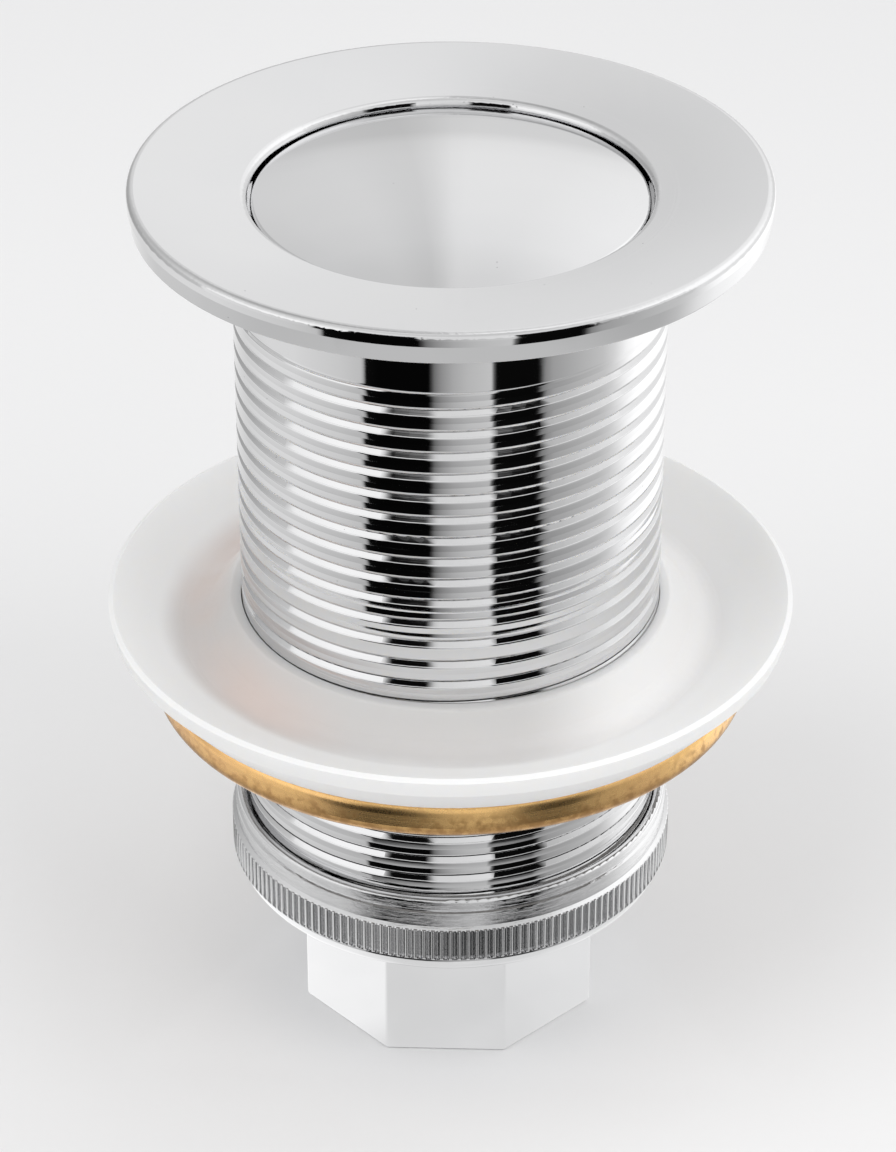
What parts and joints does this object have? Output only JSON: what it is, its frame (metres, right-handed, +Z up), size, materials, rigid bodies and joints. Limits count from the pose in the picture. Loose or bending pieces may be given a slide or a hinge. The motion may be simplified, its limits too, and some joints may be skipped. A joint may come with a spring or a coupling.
{
  "type": "pop up basin waste",
  "caption": "Press-to-open basin waste: a wide flange with a domed plug, a threaded shank, a basin washer with its back nut, and a knurled collar over an octagonal outlet.",
  "frame": {"origin": "middle of the outlet's bottom face, on the axis of the waste", "axes": "+Z up along the axis towards the plug, -Y the front, where one flat of the outlet faces"},
  "size_m": [0.0686, 0.0686, 0.0938],
  "materials": {
    "chrome_plate": "polished",
    "chrome_plug": "polished",
    "chrome_collar": "polished, knurled band",
    "chrome_outlet": "polished",
    "black_rubber": "moulded",
    "stainless_steel": "stamped",
    "spring_steel": "drawn wire",
    "turned_brass": "turned",
    "acetal": "moulded",
    "white_polyethylene": "translucent, moulded",
    "satin_brass": "satin, fine turning marks"
  },
  "bodies": {
    "body": {"waste_body": "chrome_plate", "cartridge_bridge": "turned_brass", "cartridge_sleeve": "turned_brass", "cartridge_cap": "turned_brass", "stud_washer": "turned_brass", "cartridge_lock_nut": "turned_brass", "spring_seat": "stainless_steel", "cartridge_spring": "spring_steel"},
    "plug": {"plug_cap": "chrome_plug", "plug_seal": "black_rubber", "seal_plate": "stainless_steel", "stem_lock_nut": "turned_brass", "plunger": "turned_brass"},
    "rotor": {"index_rotor": "acetal", "thrust_washer": "stainless_steel"},
    "washer": {"basin_washer": "white_polyethylene"},
    "nut": {"back_nut": "satin_brass"},
    "outlet": {"outlet_tail": "chrome_outlet", "outlet_o_ring": "black_rubber"},
    "collar": {"union_collar": "chrome_collar"}
  },
  "joints": [
    {"name": "plug_slide", "type": "slide", "parent": "body", "child": "plug", "axis": [0, 0, 1], "range_m": [-0.0015, 0.01], "deforming": ["cartridge_spring"]},
    {"name": "rotor_turn", "type": "hinge", "parent": "plug", "child": "rotor", "pos_m": [0, 0, 0.05685], "axis": [0, 0, 1], "range_deg": [-6, 45]},
    {"name": "washer_slide", "type": "slide", "parent": "body", "child": "washer", "axis": [0, 0, 1], "range_m": [-0.01039, 0.03809]},
    {"name": "nut_turn", "type": "hinge", "parent": "washer", "child": "nut", "pos_m": [0, 0, 0.0417], "axis": [0, 0, 1], "range_deg": [-1620, 5940]},
    {"name": "tail_slide", "type": "slide", "parent": "body", "child": "outlet", "axis": [0, 0, -1], "range_m": [0, 0.00519]},
    {"name": "collar_turn", "type": "hinge", "parent": "outlet", "child": "collar", "pos_m": [0, 0, 0.01725], "axis": [0, 0, -1], "range_deg": [0, 810]}
  ],
  "couplings": [
    {"joint": "rotor_turn", "follows": "plug_slide", "rad_per_m": 68.3},
    {"joint": "nut_turn", "follows": "washer_slide", "rad_per_m": 2721.2},
    {"joint": "collar_turn", "follows": "tail_slide", "rad_per_m": 2721.2}
  ]
}
